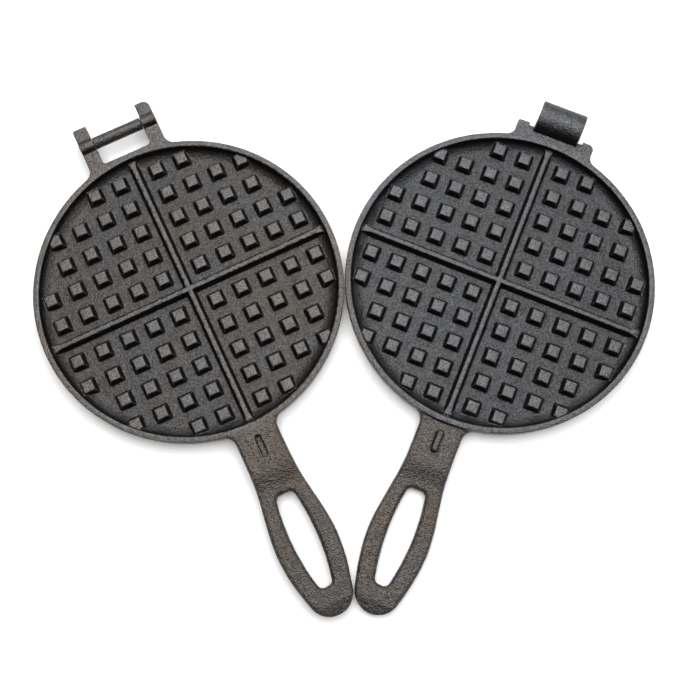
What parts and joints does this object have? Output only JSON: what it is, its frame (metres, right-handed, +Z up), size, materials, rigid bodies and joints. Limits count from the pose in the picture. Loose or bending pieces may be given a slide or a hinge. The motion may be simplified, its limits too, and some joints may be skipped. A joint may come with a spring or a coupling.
{
  "type": "stovetop waffle iron",
  "caption": "Round cast-iron stovetop waffle iron: a pegged plate with a hinge bar and one with a hook that hangs on it, each with a looped handle.",
  "frame": {"origin": "middle of the bar plate's underside, on the surface it stands on", "axes": "+Y from the bar plate's handle to its hinge bar, +Z up, out of the cooking face"},
  "size_m": [0.3665, 0.3496, 0.0238],
  "materials": {
    "seasoned_iron": "sand-cast iron, pre-seasoned, black-grey, satin, fine grain"
  },
  "bodies": {
    "bar_plate": {"bar_plate": "seasoned_iron"},
    "hinge_bar": {"hinge_bar": "seasoned_iron"},
    "hook_plate": {"hook_plate": "seasoned_iron"}
  },
  "joints": [
    {"name": "hinge", "type": "hinge", "parent": "bar_plate", "child": "hinge_bar", "pos_m": [0, 0.11, 0.01355], "axis": [-1, 0, 0], "range_deg": [0, 120]},
    {"name": "turn_over", "type": "hinge", "parent": "hinge_bar", "child": "hook_plate", "pos_m": [0.08727, -0.0384, 0.01355], "axis": [-0.4027, -0.9153, 0], "range_deg": [0, 180]}
  ]
}
